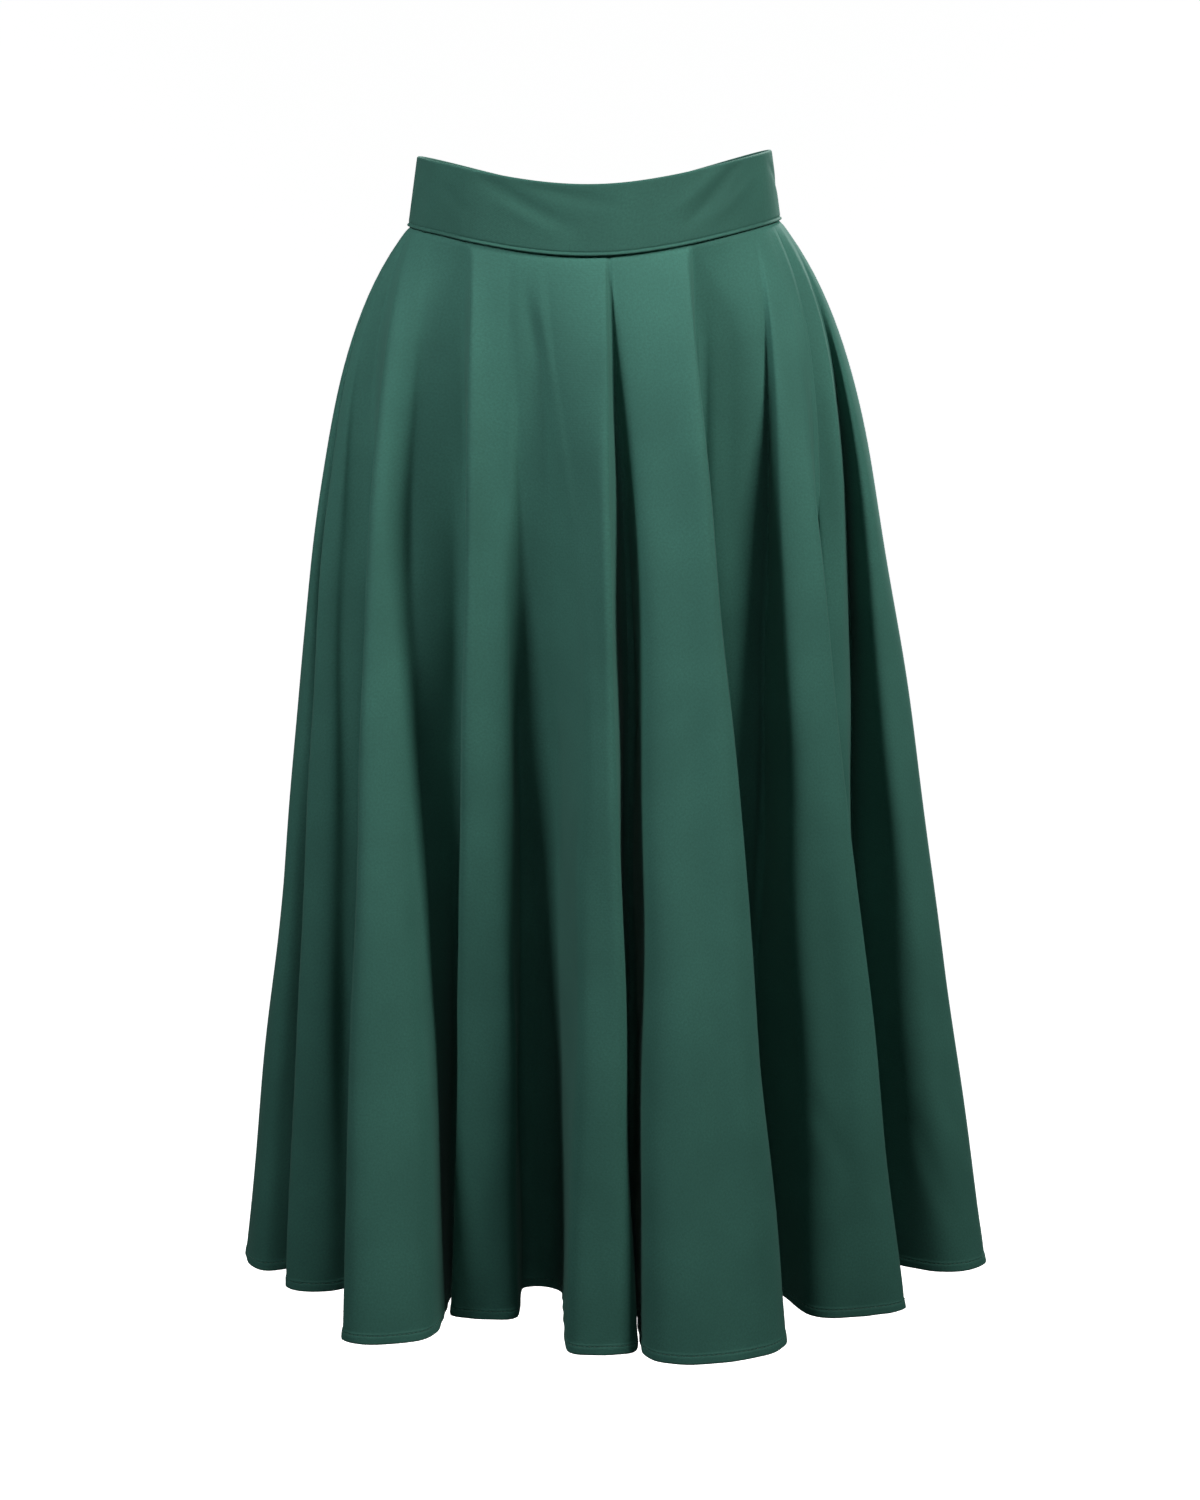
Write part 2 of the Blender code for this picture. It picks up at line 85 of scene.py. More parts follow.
# waist and spread: middle and width of its start on the seam, in degrees.  angle and reach: where its middle
# stands on the hem, seen from the waist's centre.  width: at the hem.  bow: how far its middle stands out
# there, as a share of its width.  lean: how far its face turns from square to the reach, in degrees.
# hip: how far its middle is pushed out over the hips.  tilt: how much further its last edge is pushed out
# there than its first.  first and last: how far those two edges are swayed on round the skirt half way down.
# lift: how much higher its hem hangs.  Lengths are in millimetres.
Fold = namedtuple("Fold", "waist spread angle reach width bow lean hip tilt first last lift")
FOLDS = (
    ("front 1",
     Fold(-96.0, 8.0, -91.0, 233, 58, 0.26, 12, 48, 0, 0, 0, 3),
     Fold(-89.0, 2.0, -86.0, 166, 20, 0.22, 20, 46, 0, 0, 0, 4)),
    ("front 2",
     Fold(-84.0, 6.0, -76.0, 198, 44, 0.48, 66, 48, 0, 0, 0, 0),
     Fold(-78.0, 2.0, -67.0, 134, 24, 0.22, 30, 40, 0, 0, 0, 4)),
    ("front 3",
     Fold(-69.0, 13.0, -41.1, 207, 69, 0.38, 54, 36, -16, -6, -34, 0),
     Fold(-44.0, 2.0, -51.0, 113, 22, 0.22, 20, 10, 0, 0, 0, 4)),
    ("front 4",
     Fold(-33.5, 13.0, -31.4, 141, 47, 0.22, 22, 26, -16, 5, -6, 2),
     Fold(-20.0, 6.0, -26.0, 82, 32, 0.22, 8, 24, 0, 0, 10, 6)),
    ("front 5",
     Fold(-5.4, 16.4, 1.6, 188, 46, 0.26, 0, 22, 20, 32, -5, 0),
     Fold(4.5, 0.8, 18.5, 74, 12, 0.22, 0, 28, 0, 10, 16, 6)),
    ("front 6",
     Fold(17.5, 23.0, 23.3, 201, 105, 0.38, -1, 26, 30, 22, -4, 0),
     Fold(32.0, 2.0, 52.0, 109, 12, 0.22, -9, -6, 0, 0, 0, 8)),
    ("front 7",
     Fold(41.0, 14.0, 59.0, 110, 16, 0.22, -17, 6, 22, -10, -10, 8),
     Fold(55.0, 2.0, 65.0, 113, 12, 0.22, -20, 33, 0, 0, 0, 8)),
    ("front 8",
     Fold(62.5, 7.5, 59.8, 206, 71, 0.25, -43, 31, -2, -16, -29, 0),
     Fold(70.5, 1.5, 71.5, 148, 18, 0.22, -10, 43, 0, -10, -10, 6)),
    ("front 9",
     Fold(74.5, 5.0, 74.5, 178, 34, 0.22, -14, 40, 16, -14, -24, 0),
     Fold(82.0, 2.0, 91.0, 182, 16, 0.22, -10, 44, 0, 10, 16, 4)),
    ("left side",
     Fold(91.0, 8.0, 88.0, 249, 56, 0.50, -50, 43, 0, -20, 0, 4),
     Fold(99.0, 4.0, 103.0, 118, 24, 0.30, 6, 50, 0, 0, 0, 4)),
    ("back 1",
     Fold(109.0, 9.0, 108.0, 248, 64, 0.34, -12, 46, 0, 0, 0, 0),
     Fold(118.5, 4.0, 119.0, 108, 26, 0.30, -8, 50, 0, 0, 0, 5)),
    ("back 2",
     Fold(127.0, 8.0, 127.5, 232, 56, 0.34, 10, 44, 0, 0, 0, 0),
     Fold(137.0, 5.0, 137.0, 102, 28, 0.30, 6, 46, 0, 0, 0, 5)),
    ("back 3",
     Fold(148.0, 10.0, 148.0, 238, 72, 0.34, -8, 42, 0, 0, 0, 0),
     Fold(160.0, 5.0, 159.0, 98, 26, 0.30, -4, 42, 0, 0, 0, 5)),
    ("back 4",
     Fold(169.0, 7.0, 168.5, 226, 54, 0.34, 12, 40, 0, 0, 0, 0),
     Fold(180.0, 4.0, 180.0, 100, 26, 0.30, 0, 40, 0, 0, 0, 5)),
    ("back 5",
     Fold(192.5, 10.0, 191.5, 234, 68, 0.34, -6, 40, 0, 0, 0, 0),
     Fold(204.0, 5.0, 203.5, 98, 28, 0.30, 4, 44, 0, 0, 0, 5)),
    ("back 6",
     Fold(213.0, 7.0, 212.5, 222, 54, 0.34, -14, 42, 0, 0, 0, 0),
     Fold(222.5, 5.0, 221.0, 106, 26, 0.30, 0, 46, 0, 0, 0, 5)),
    ("back 7",
     Fold(233.0, 9.0, 231.5, 242, 66, 0.34, 8, 44, 0, 0, 0, 0),
     Fold(243.0, 4.0, 242.5, 106, 26, 0.30, 4, 50, 0, 0, 0, 5)),
    ("back 8",
     Fold(251.0, 7.0, 250.0, 236, 56, 0.34, 14, 46, 0, 0, 0, 0),
     Fold(258.0, 3.0, 259.0, 118, 22, 0.30, 0, 50, 0, 0, 0, 4)),
)
FOLD_NAMES = [name for name, _, _ in FOLDS]
RIGHT_SIDE_SEAM = "back 8"  # seams run down troughs, each named by the fold before it
CENTRE_FRONT_SEAM = "front 5"
LEFT_SIDE_SEAM = "left side"
CENTRE_BACK_SEAM = "back 4"
print("folds:", len(FOLDS))


# %% Guides, the lines that the folds follow from the seam to the hem
def heading(angle):
    """Level unit vectors away from the waist's centre: sine of the angle to +X, minus its cosine to +Y."""
    turn = np.radians(angle)
    return np.stack([np.sin(turn), -np.cos(turn)], axis=-1)


def hip_push(angle):
    """Level unit vectors of the hips' push: the heading with its sideways part raised to HIP_TURN."""
    along = heading(angle)
    push = np.stack([along[..., 0] ** HIP_TURN, along[..., 1]], axis=-1)
    return push / np.linalg.norm(push, axis=-1, keepdims=True)


def fold_guides(fold, steps, side):
    """Guides of a ridge, on side 1, or trough, on side -1: rows of start, end, push, sway and lift.

    At the hem they stand along the fold's width, and its middle bows out as a parabola over that width."""
    step = np.array(steps)[:, None]
    waist = fold.waist + step[:, 0] * fold.spread
    start = heading(waist) * (SEAM_HALF_WIDTH, SEAM_HALF_DEPTH)
    face = heading(fold.angle + fold.lean)
    along = heading(fold.angle + fold.lean + 90)
    crown = side * fold.bow * (1 - (2 * step) ** 2)
    end = heading(fold.angle) * fold.reach * MM + (along * step + face * crown) * fold.width * MM
    between = (waist + fold.angle) / 2
    push = hip_push(between) * (fold.hip + fold.tilt * step) * MM
    sway = heading(between + 90) * (fold.first + (fold.last - fold.first) * (step + 0.5)) * MM
    lift = np.full((len(steps), 1), fold.lift * MM)
    return np.hstack([start, end, push, sway, lift])


def all_guides():
    """Every guide round the skirt.  Those on a wall lie on the straight lines between its two neighbours."""
    groups = []
    for _, ridge, trough in FOLDS:
        groups += [fold_guides(ridge, RIDGE_STEPS, 1), fold_guides(trough, TROUGH_STEPS, -1)]
    rows = []
    for group, following in zip(groups, groups[1:] + groups[:1]):
        rows.append(group)
        rows += [group[-1:] + (following[:1] - group[-1:]) * step for step in WALL_STEPS]
    return np.vstack(rows)


GUIDES = all_guides()
print("guides:", len(GUIDES))


# %% [markdown]
# ## One surface for the whole skirt
#
# A point of the cloth has two parameters.  Its share says how far down it is, from 0 on the waist seam to 1
# on the hem.  Its place says how far round it is, counted in guides.  At every share one smooth closed curve
# runs along all the guides, and those curves together are the cloth.

# %% The skirt's surface and the waistband's
def guide_points(share):
    """Guides at the given shares.  A guide goes straight from start to end, plus its push times the belly,
    (1 - e^(-s / BELLY_START)) (1 - s), plus its sway times (1 - e^(-(s / SWAY_START)^2)) (1 - s)."""
    s = share[:, None, None]
    start, end, push, sway = (GUIDES[None, :, k:k + 2] for k in (0, 2, 4, 6))
    belly = (1 - np.exp(-s / BELLY_START)) * (1 - s)
    middle = (1 - np.exp(-((s / SWAY_START) ** 2))) * (1 - s)
    flat = start + (end - start) * s + push * belly + sway * middle
    return np.concatenate([flat, GUIDES[None, :, 8:] * s], axis=2)


def smooth_loop(points, places):
    """Closed cubic B-spline along each row of points: four neighbours, weighted by the cubic blend."""
    number = np.floor(places).astype(int)
    t = (places - number)[:, None]
    count = points.shape[1]
    before, here, after, beyond = (points[:, (number + k) % count] for k in (-1, 0, 1, 2))
    return ((1 - t) ** 3 * before + (3 * t**3 - 6 * t**2 + 4) * here
            + (-3 * t**3 + 3 * t**2 + 3 * t + 1) * after + t**3 * beyond) / 6


def skirt_middle(share, places):
    """Middle of the cloth: the loops along the guides, with the height going from the seam's to the hem's."""
    loop = smooth_loop(guide_points(share), places)
    s = share[:, None]
    facing = loop[..., 1] / np.hypot(loop[..., 0], loop[..., 1])
    dip = np.where(facing < 0, FRONT_DIP, BACK_DIP)
    seam = math.tan(WAIST_TILT) * loop[..., 0] - dip * facing**2 - BAND_HEIGHT / 2
    height = seam * (1 - s) + (-SKIRT_DROP - BAND_HEIGHT / 2) * s + loop[..., 2]
    return np.dstack([loop[..., :2], height])


def band_middle(share, places):
    """Middle of the waistband: the seam's curve drawn in towards the smaller top ellipse, share by share."""
    ring = skirt_middle(np.zeros(1), places)
    top = np.array([BAND_TOP_HALF_WIDTH / SEAM_HALF_WIDTH, BAND_TOP_HALF_DEPTH / SEAM_HALF_DEPTH])
    s = share[:, None, None]
    flat = ring[..., :2] * (1 + (top - 1) * s)
    return np.dstack([flat, ring[..., 2] + BAND_HEIGHT * s[..., 0]])


def outward(surface, share, places):
    """Level unit normals: each row's direction of travel, turned a quarter to the right."""
    step = 0.01
    travel = surface(share, places + step) - surface(share, places - step)
    normal = np.dstack([travel[..., 1], -travel[..., 0], np.zeros(travel.shape[:2])])
    return normal / np.linalg.norm(normal, axis=2, keepdims=True)


def seam_place(fold_name):
    """Number of the guide down the middle of the trough after a fold, where a seam runs."""
    return FOLD_NAMES.index(fold_name) * GUIDES_IN_FOLD + TROUGH_MIDDLE


def run_along(rows):
    """Distance travelled along each row of points: running sum of the steps' lengths."""
    steps = np.linalg.norm(np.diff(rows, axis=1), axis=2)
    return np.hstack([np.zeros((len(rows), 1)), np.cumsum(steps, axis=1)])


def even_places(surface, share, start_seam, end_seam, spacing, end_steps):
    """Places from seam to seam, evenly spaced along the curve at a share, closer at the two ends."""
    start, end = seam_place(start_seam), seam_place(end_seam)
    if end < start:
        start -= len(GUIDES)
    fine = np.linspace(start, end, 40 * (end - start) + 1)
    run = run_along(surface(np.array([share]), fine))[0]
    ends = np.array(end_steps)
    count = round((run[-1] - 2 * ends[-1]) / spacing)
    wanted = np.concatenate([ends[:-1], np.linspace(ends[-1], run[-1] - ends[-1], count + 1),
                             run[-1] - ends[-2::-1]])
    return np.interp(wanted, run, fine)


HEM_LENGTH = run_along(skirt_middle(np.ones(1), np.linspace(0, len(GUIDES), 8001)))[0, -1]
print("hem, all round:", round(HEM_LENGTH, 3), "m")

# %% [markdown]
# ## Creases listed one by one
#
# The table of folds gives smooth cloth, but worn cloth is never that even.  Each row below is one soft crease
# on a fold: where it starts and ends, how high it stands or how deep it sinks, and how wide it is.  The front
# ones roughly follow the real skirt's, and the others are made up.  The pressed edges of some folds are
# narrow creases.

# %% The creases of the skirt
# top and foot: shares where it fades in and out.  from_step and to_step: its place within the fold there, in
# guides from the ridge's first edge.  rise, in mm: how far it stands out, or sinks in where negative.
Crease = namedtuple("Crease", "fold top from_step foot to_step rise width")
CREASES = [Crease(*row) for row in (
    ("front 1", 0.30, 1.0, 0.99, 1.6, -1.6, 11),
    ("front 2", 0.24, 0.4, 0.80, 0.2, 1.2, 6),
    ("front 2", 0.25, 3.4, 0.95, 3.0, -2.2, 9),
    ("front 3", 0.02, 0.3, 0.55, 0.3, 1.5, 8),
    ("front 3", 0.10, 2.1, 0.60, 2.4, -0.7, 15),
    ("front 3", 0.55, 1.5, 1.02, 1.9, -1.6, 12),
    ("front 4", 0.01, 0.3, 0.70, 0.4, 1.5, 5),
    ("front 4", 0.10, 1.7, 0.50, 2.2, -1.2, 10),
    ("front 4", 0.03, 6.2, 0.11, 8.6, -1.5, 5),
    ("front 4", 0.02, 8.4, 0.13, 9.8, 1.0, 5),
    ("front 5", 0.10, 1.2, 0.50, 1.3, -1.0, 11),
    ("front 5", 0.12, 2.7, 0.80, 2.8, 1.2, 6),
    ("front 6", 0.08, 2.8, 0.95, 2.8, 1.4, 6),
    ("front 6", 0.06, 1.4, 1.02, 1.6, -2.4, 15),
    ("front 6", 0.50, 2.2, 0.98, 2.1, 0.9, 12),
    ("front 7", 0.03, 0.6, 0.36, 1.2, 1.4, 9),
    ("front 8", 0.02, 2.8, 0.85, 2.8, 1.5, 5),
    ("front 8", 0.45, 1.2, 0.98, 1.4, -1.6, 12),
    ("front 8", 0.78, 0.4, 0.90, 1.9, -1.3, 6),
    ("front 8", 0.82, 0.8, 0.93, 2.4, 0.8, 6),
    ("front 9", 0.04, 1.8, 0.40, 2.0, 1.4, 7),
    ("left side", 0.40, 1.2, 0.97, 1.7, -1.6, 12),
    ("left side", 0.84, 0.0, 0.97, 1.4, -1.5, 7),
    ("left side", 0.80, 0.6, 0.93, 2.0, 0.9, 7),
    ("back 1", 0.05, 0.4, 0.55, 0.5, 1.4, 7),
    ("back 1", 0.35, 1.6, 1.00, 1.9, -2.0, 14),
    ("back 2", 0.10, 2.8, 0.75, 2.7, 1.4, 6),
    ("back 2", 0.72, 0.6, 0.86, 2.2, -1.2, 7),
    ("back 3", 0.02, 0.3, 0.60, 0.4, 1.5, 6),
    ("back 3", 0.20, 1.7, 1.02, 1.4, -2.2, 15),
    ("back 4", 0.30, 1.3, 0.90, 1.5, -1.5, 12),
    ("back 5", 0.03, 2.8, 0.65, 2.8, 1.5, 6),
    ("back 5", 0.25, 1.2, 1.02, 1.6, -2.1, 14),
    ("back 5", 0.80, 0.5, 0.92, 2.3, 0.9, 7),
    ("back 6", 0.08, 0.4, 0.50, 0.3, 1.3, 6),
    ("back 6", 0.55, 1.4, 1.00, 1.7, -1.7, 12),
    ("back 7", 0.05, 2.7, 0.70, 2.8, 1.4, 7),
    ("back 7", 0.30, 1.4, 0.97, 1.2, -2.0, 14),
    ("back 8", 0.06, 0.4, 0.60, 0.4, 1.3, 7),
    ("back 8", 0.70, 0.8, 0.84, 2.2, -1.2, 7),
)]
# Along some folds one side stands out over the other, as if lightly pressed.  Same columns, but rise is how
# far the side after the line stands out, and the side before it if negative, and width how fast that fades.
EDGES = [Crease(*row) for row in (
    ("front 3", 0.16, -0.2, 0.80, 0.0, 1.0, 9),
    ("front 4", 0.005, -0.2, 0.70, -0.1, 2.8, 8),
    ("front 6", 0.005, 3.3, 0.74, 3.1, -2.6, 8),
    ("back 2", 0.01, 3.2, 0.50, 3.1, -1.4, 9),
    ("back 5", 0.01, -0.2, 0.55, -0.1, 1.6, 10),
    ("back 7", 0.03, 3.2, 0.60, 3.1, -1.2, 9),
)]
# The whole cloth also moves a little in and out: height in mm, waves round the skirt, waves down it, start
Swell = namedtuple("Swell", "height around down start")
SWELLS = (Swell(0.55, 41, 2.3, 0.4), Swell(0.40, 67, -3.1, 1.9), Swell(0.30, 23, 4.6, 3.3))


def fade(share, top, foot):
    """Nought outside top and foot, and between them a hump: the sine of half a turn, to the power 0.8."""
    t = np.clip((share - top) / (foot - top), 0, 1)
    return np.sin(np.pi * t) ** 0.8


def bump_across(x, width):
    """Soft ridge: e^(-(x / width)^2)."""
    return np.exp(-((x / width) ** 2))


def step_across(x, width):
    """Sharp step that fades on both sides: tanh(x / 0.8 mm) e^(-|x| / width)."""
    return np.tanh(x / (0.8 * MM)) * np.exp(-np.abs(x) / width)


def crease_height(share, places, run):
    """How far the creases and edges move the cloth out: rise x fade x shape across the line, all summed."""
    height = np.zeros(run.shape)
    for table, shape in ((CREASES, bump_across), (EDGES, step_across)):
        for crease in table:
            base = FOLD_NAMES.index(crease.fold) * GUIDES_IN_FOLD
            if base > places[-1]:
                base -= len(GUIDES)
            t = (share - crease.top) / (crease.foot - crease.top)
            line = base + crease.from_step + (crease.to_step - crease.from_step) * np.clip(t, 0, 1)
            if line.max() < places[0] or line.min() > places[-1]:
                continue
            at = np.array([np.interp(x, places, row) for x, row in zip(line, run)])
            across = shape(run - at[:, None], crease.width * MM)
            height += crease.rise * MM * fade(share, crease.top, crease.foot)[:, None] * across
    return height


def swell_height(share, places):
    """Sum of waves that cross the cloth at a slant, growing from nought at the waist seam."""
    around = places[None, :] / len(GUIDES)
    s = share[:, None]
    waves = [swell.height * MM * np.sin(2 * np.pi * (swell.around * around + swell.down * s) + swell.start)
             for swell in SWELLS]
    return sum(waves) * np.minimum(s * 4, 1)


print("creases:", len(CREASES), "edges:", len(EDGES))


# %% [markdown]
# ## Shells with a rounded edge
#
# Cloth has two faces and a thin edge.  A wall's profile goes down its outer face, round the hem, up its inner
# face and closes across the top.  Carried along the places, the profile makes one closed shell, and at each
# end of the piece a strip of faces shuts it.  Solidify would be quicker, but it can't thicken the turned hem
# or round the edge.

# %% Closed shell from a grid of points
def make_mesh(name, vertices, quads, material, vertex_uv=None):
    """Mesh object from arrays of points and of four corner numbers a face, with the UV map in metres."""
    mesh = bpy.data.meshes.new(name)
    mesh.vertices.add(len(vertices))
    mesh.vertices.foreach_set("co", np.ascontiguousarray(vertices, dtype=np.float32).ravel())
    mesh.loops.add(quads.size)
    mesh.loops.foreach_set("vertex_index", quads.astype(np.int32).ravel())
    mesh.polygons.add(len(quads))
    mesh.polygons.foreach_set("loop_start", np.arange(0, quads.size, 4, dtype=np.int32))
    mesh.update(calc_edges=True)
    if vertex_uv is not None:
        layer = mesh.uv_layers.new(name="cut")
        layer.uv.foreach_set("vector", vertex_uv[quads.ravel()].astype(np.float32).ravel())
    mesh.polygons.foreach_set("use_smooth", np.ones(len(quads), dtype=bool))
    mesh.materials.append(material)
    mesh.validate()
    thing = bpy.data.objects.new(name, mesh)
    bpy.context.scene.collection.objects.link(thing)
    return thing


def profile_quads(count, columns):
    """Faces of a closed profile of count points carried over columns, with both ends shut.

    Faces join neighbouring points and columns.  At an end, point k pairs with point count - 1 - k."""
    k = np.arange(count)
    following = (k + 1) % count
    c = np.arange(columns - 1)[:, None]

    def number(point, column):
        return point * columns + column

    side = np.stack([number(k, c), number(following, c), number(following, c + 1), number(k, c + 1)], axis=-1)
    half = np.arange(count // 2 - 1)
    first, last = 0, columns - 1
    start = np.stack([number(half, first), number(count - 1 - half, first),
                      number(count - 2 - half, first), number(half + 1, first)], axis=-1)
    end = np.stack([number(half, last), number(half + 1, last),
                    number(count - 2 - half, last), number(count - 1 - half, last)], axis=-1)
    return np.concatenate([side.reshape(-1, 4), start, end])


def draw_back(points):
    """Moves both ends of a piece half the seam's gap towards their neighbouring columns."""
    for end, beside in ((0, 1), (-1, -2)):
        inward = points[:, beside] - points[:, end]
        points[:, end] += inward / np.linalg.norm(inward, axis=1, keepdims=True) * SEAM_GAP / 2


def add_piece(name, points, material, vertex_uv):
    """Shell from points in rows of the closed profile, with its size printed."""
    count, columns = points.shape[:2]
    thing = make_mesh(name, points.reshape(-1, 3), profile_quads(count, columns), material,
                      vertex_uv.reshape(-1, 2))
    thing.data.calc_loop_triangles()
    triangles = len(thing.data.loop_triangles)
    print(f"{name}: {columns} columns, {count} points round the wall, {triangles} triangles")
    return thing


# %% [markdown]
# ## Colour and nodes
#
# Colours are written as they look on a screen, in sRGB hex, and turned to the linear values that the renderer
# works with.  One small helper adds a node with its settings and links, which keeps each material a short
# list of steps.

# %% Helpers for materials
WAVE_REPEAT = 0.314  # length of one wave of a wave texture at scale 1


def linear(code):
    """Linear colour of an sRGB hex code: each part c / 12.92 to 0.04045, else ((c + 0.055) / 1.055)^2.4."""
    parts = [int(code[k:k + 2], 16) / 255 for k in (1, 3, 5)]
    return tuple(c / 12.92 if c <= 0.04045 else ((c + 0.055) / 1.055) ** 2.4 for c in parts) + (1.0,)


def node(tree, kind, inputs=None, **settings):
    """Adds a node.  An input is a number, a colour or another node's socket."""
    new = tree.nodes.new(kind)
    for name, value in settings.items():
        setattr(new, name, value)
    for name, value in (inputs or {}).items():
        if isinstance(value, bpy.types.NodeSocket):
            tree.links.new(value, new.inputs[name])
        else:
            new.inputs[name].default_value = value
    return new


def mixed(tree, factor, first, second):
    """Output of a colour mix: the first where the factor is 0 and the second where it is 1."""
    mix = node(tree, "ShaderNodeMix", {"Factor": factor, "A": first, "B": second}, data_type="RGBA")
    return mix.outputs["Result"]


def set_sockets(shader, values):
    """Sets plain values on the shader's own sockets."""
    for name, value in values.items():
        shader.inputs[name].default_value = value


def new_material(name):
    """Material with its Principled shader, and their node tree."""
    material = bpy.data.materials.new(name)
    material.use_nodes = True
    return material, material.node_tree, material.node_tree.nodes["Principled BSDF"]


# %% [markdown]
# ## Crepe
#
# The skirt is polyester crepe, woven from hard twisted yarn and piece dyed bottle green.  The yarn gives it a
# matt face with a fine grain, and the floats of its weave catch a little light at a glancing angle, which
# sheen does.  The pattern lies in the UV map, which holds each point's place on the flat cut in metres, so
# the weave runs with the cloth and bends where the cloth bends.
#
# Its yarns are about 0.3 mm apart, too fine to show on a whole skirt.  The weave is drawn with ribs 1.1 mm
# apart, coarse enough to show from a step away.

# %% Crepe material
RIB_SPACING = 1.1  # mm, drawn coarser than the real 0.3
GRAIN = 1.6  # mm, the crepe's pebble, drawn coarser too
CLOUD = 55.0  # mm, soft unevenness of dye and pressing


def make_crepe(name, base, pale, deep):
    """Woven polyester crepe: matt, slightly mottled, with a faint diagonal rib and a soft sheen."""
    material, tree, shader = new_material(name)
    cut = node(tree, "ShaderNodeUVMap", uv_map="cut")
    per_mm = node(tree, "ShaderNodeVectorMath", {0: cut.outputs["UV"], 1: (1000, 1000, 1000)},
                  operation="MULTIPLY")
    flat = per_mm.outputs["Vector"]
    turned = node(tree, "ShaderNodeMapping", {"Vector": flat, "Rotation": (0, 0, math.radians(52))})
    rib = node(tree, "ShaderNodeTexWave",
               {"Vector": turned.outputs["Vector"], "Scale": WAVE_REPEAT / RIB_SPACING, "Distortion": 1.4,
                "Detail": 1.0, "Detail Scale": 0.6})
    grain = node(tree, "ShaderNodeTexNoise",
                 {"Vector": flat, "Scale": 1 / GRAIN, "Detail": 2.0, "Roughness": 0.6})
    cloud = node(tree, "ShaderNodeTexNoise",
                 {"Vector": flat, "Scale": 1 / CLOUD, "Detail": 3.0, "Roughness": 0.5})
    relief = node(tree, "ShaderNodeMath", {0: rib.outputs["Fac"], 1: 0.3, 2: grain.outputs["Fac"]},
                  operation="MULTIPLY_ADD")
    mottle = node(tree, "ShaderNodeMapRange",
                  {"Value": grain.outputs["Fac"], "From Min": 0.30, "From Max": 0.70})
    fine = mixed(tree, mottle.outputs["Result"], linear(base), linear(pale))
    patch = node(tree, "ShaderNodeMapRange",
                 {"Value": cloud.outputs["Fac"], "From Min": 0.35, "From Max": 0.65, "To Max": 0.35})
    worn = mixed(tree, patch.outputs["Result"], fine, linear(deep))
    bump = node(tree, "ShaderNodeBump",
                {"Height": relief.outputs["Value"], "Strength": 0.5, "Distance": 0.12 * MM})
    tree.links.new(worn, shader.inputs["Base Color"])
    tree.links.new(bump.outputs["Normal"], shader.inputs["Normal"])
    set_sockets(shader, {"Roughness": 0.82, "IOR": 1.5, "Specular IOR Level": 0.22, "Sheen Weight": 0.16,
                         "Sheen Roughness": 0.45, "Sheen Tint": linear("#9fc4bb")})
    return material


crepe = make_crepe("bottle_green_crepe", "#336157", "#3a6d62", "#2c574e")
band_crepe_painted_shade = make_crepe("stiffened_crepe_painted_shade", "#2b554b", "#305e54", "#254b43")   # the same crepe painted darker, as painted shade on the upright band, which takes less of the high lights
print("materials:", crepe.name, band_crepe_painted_shade.name)

# %% [markdown]
# ## Skirt panels
#
# Four quarter circles make the skirt, joined down the centre front, the centre back and the sides.  The hem
# is turned up twice, 7 mm deep, so the last stretch of the wall is thicker, and the line of stitches pulls a
# shallow groove into it.  Where two panels meet, the cloth dips into the seam, and under the waistband it
# tucks in.

# %% Profile of the skirt's wall
CLOTH = 1.0 * MM  # the cloth's thickness
HEM_THICKNESS = 2.0 * MM
HEM_DEPTH = 7.0 * MM
HEM_STITCH = 6.0 * MM  # from the stitch line to the edge
HEM_GROOVE = 0.5 * MM
HEM_GROOVE_WIDTH = 0.45 * MM
HEM_STEP = 0.25 * MM  # the length over which the wall thickens at the hem
FULL_LENGTH = 735.0 * MM  # of the cloth, from the seam to the hem
SEAM_DIP = 0.9 * MM
SEAM_DIP_WIDTH = 1.6 * MM
WAIST_TUCK = 0.9 * MM
WAIST_TUCK_DEPTH = 2.2 * MM
WAIST_RADIUS = 112.0 * MM  # of the ring that the panels are cut from
PUCKER_RISE = 0.3 * MM  # the sewn hem draws up a little between its stitches
PUCKER_LENGTH = 24.0 * MM
PUCKER_FADE = 14.0 * MM
SEAM_HOLD = 5.0 * MM  # creases die out this near a seam
COLUMN_SPACING = 3.9 * MM  # along the hem, and closer beside a seam
SEAM_COLUMNS = np.array([0, 0.7, 1.6, 2.8, 4.4, 6.6]) * MM
HEM_ROWS = np.array([16, 12, 9.5, 8.2, 7.4, 6.9, 6.45, 6.0, 5.55, 5.0, 4.0, 2.8, 1.6, 0.8, 0.25, 0]) * MM
WAIST_ROWS = np.array([0, 0.6, 1.3, 2.2, 3.4, 5.0]) * MM
BODY_ROWS = 74
BODY_TOP = 9.0 * MM  # the even rows start this far below the waist
BODY_FOOT = 22.0 * MM  # and end this far above the hem


def skirt_profile():
    """Shares and offsets of the closed profile.

    The offset is half the thickness, which grows over the hem, less the stitch groove, times the root of
    1 - x^2 over the last millimetre, which rounds the edge.  The inner face is the same with its sign
    turned."""
    from_hem = np.concatenate([FULL_LENGTH - WAIST_ROWS,
                               np.linspace(FULL_LENGTH - BODY_TOP, BODY_FOOT, BODY_ROWS), HEM_ROWS])
    turned_up = 1 / (1 + np.exp((from_hem - HEM_DEPTH) / HEM_STEP))
    half = (CLOTH + (HEM_THICKNESS - CLOTH) * turned_up) / 2
    half -= HEM_GROOVE * np.exp(-(((from_hem - HEM_STITCH) / HEM_GROOVE_WIDTH) ** 2))
    x = np.clip(1 - from_hem / (HEM_THICKNESS / 2), 0, 0.97)
    half *= np.sqrt(1 - x**2)
    share = 1 - from_hem / FULL_LENGTH
    return np.concatenate([share, share[::-1]]), np.concatenate([half, -half[::-1]])


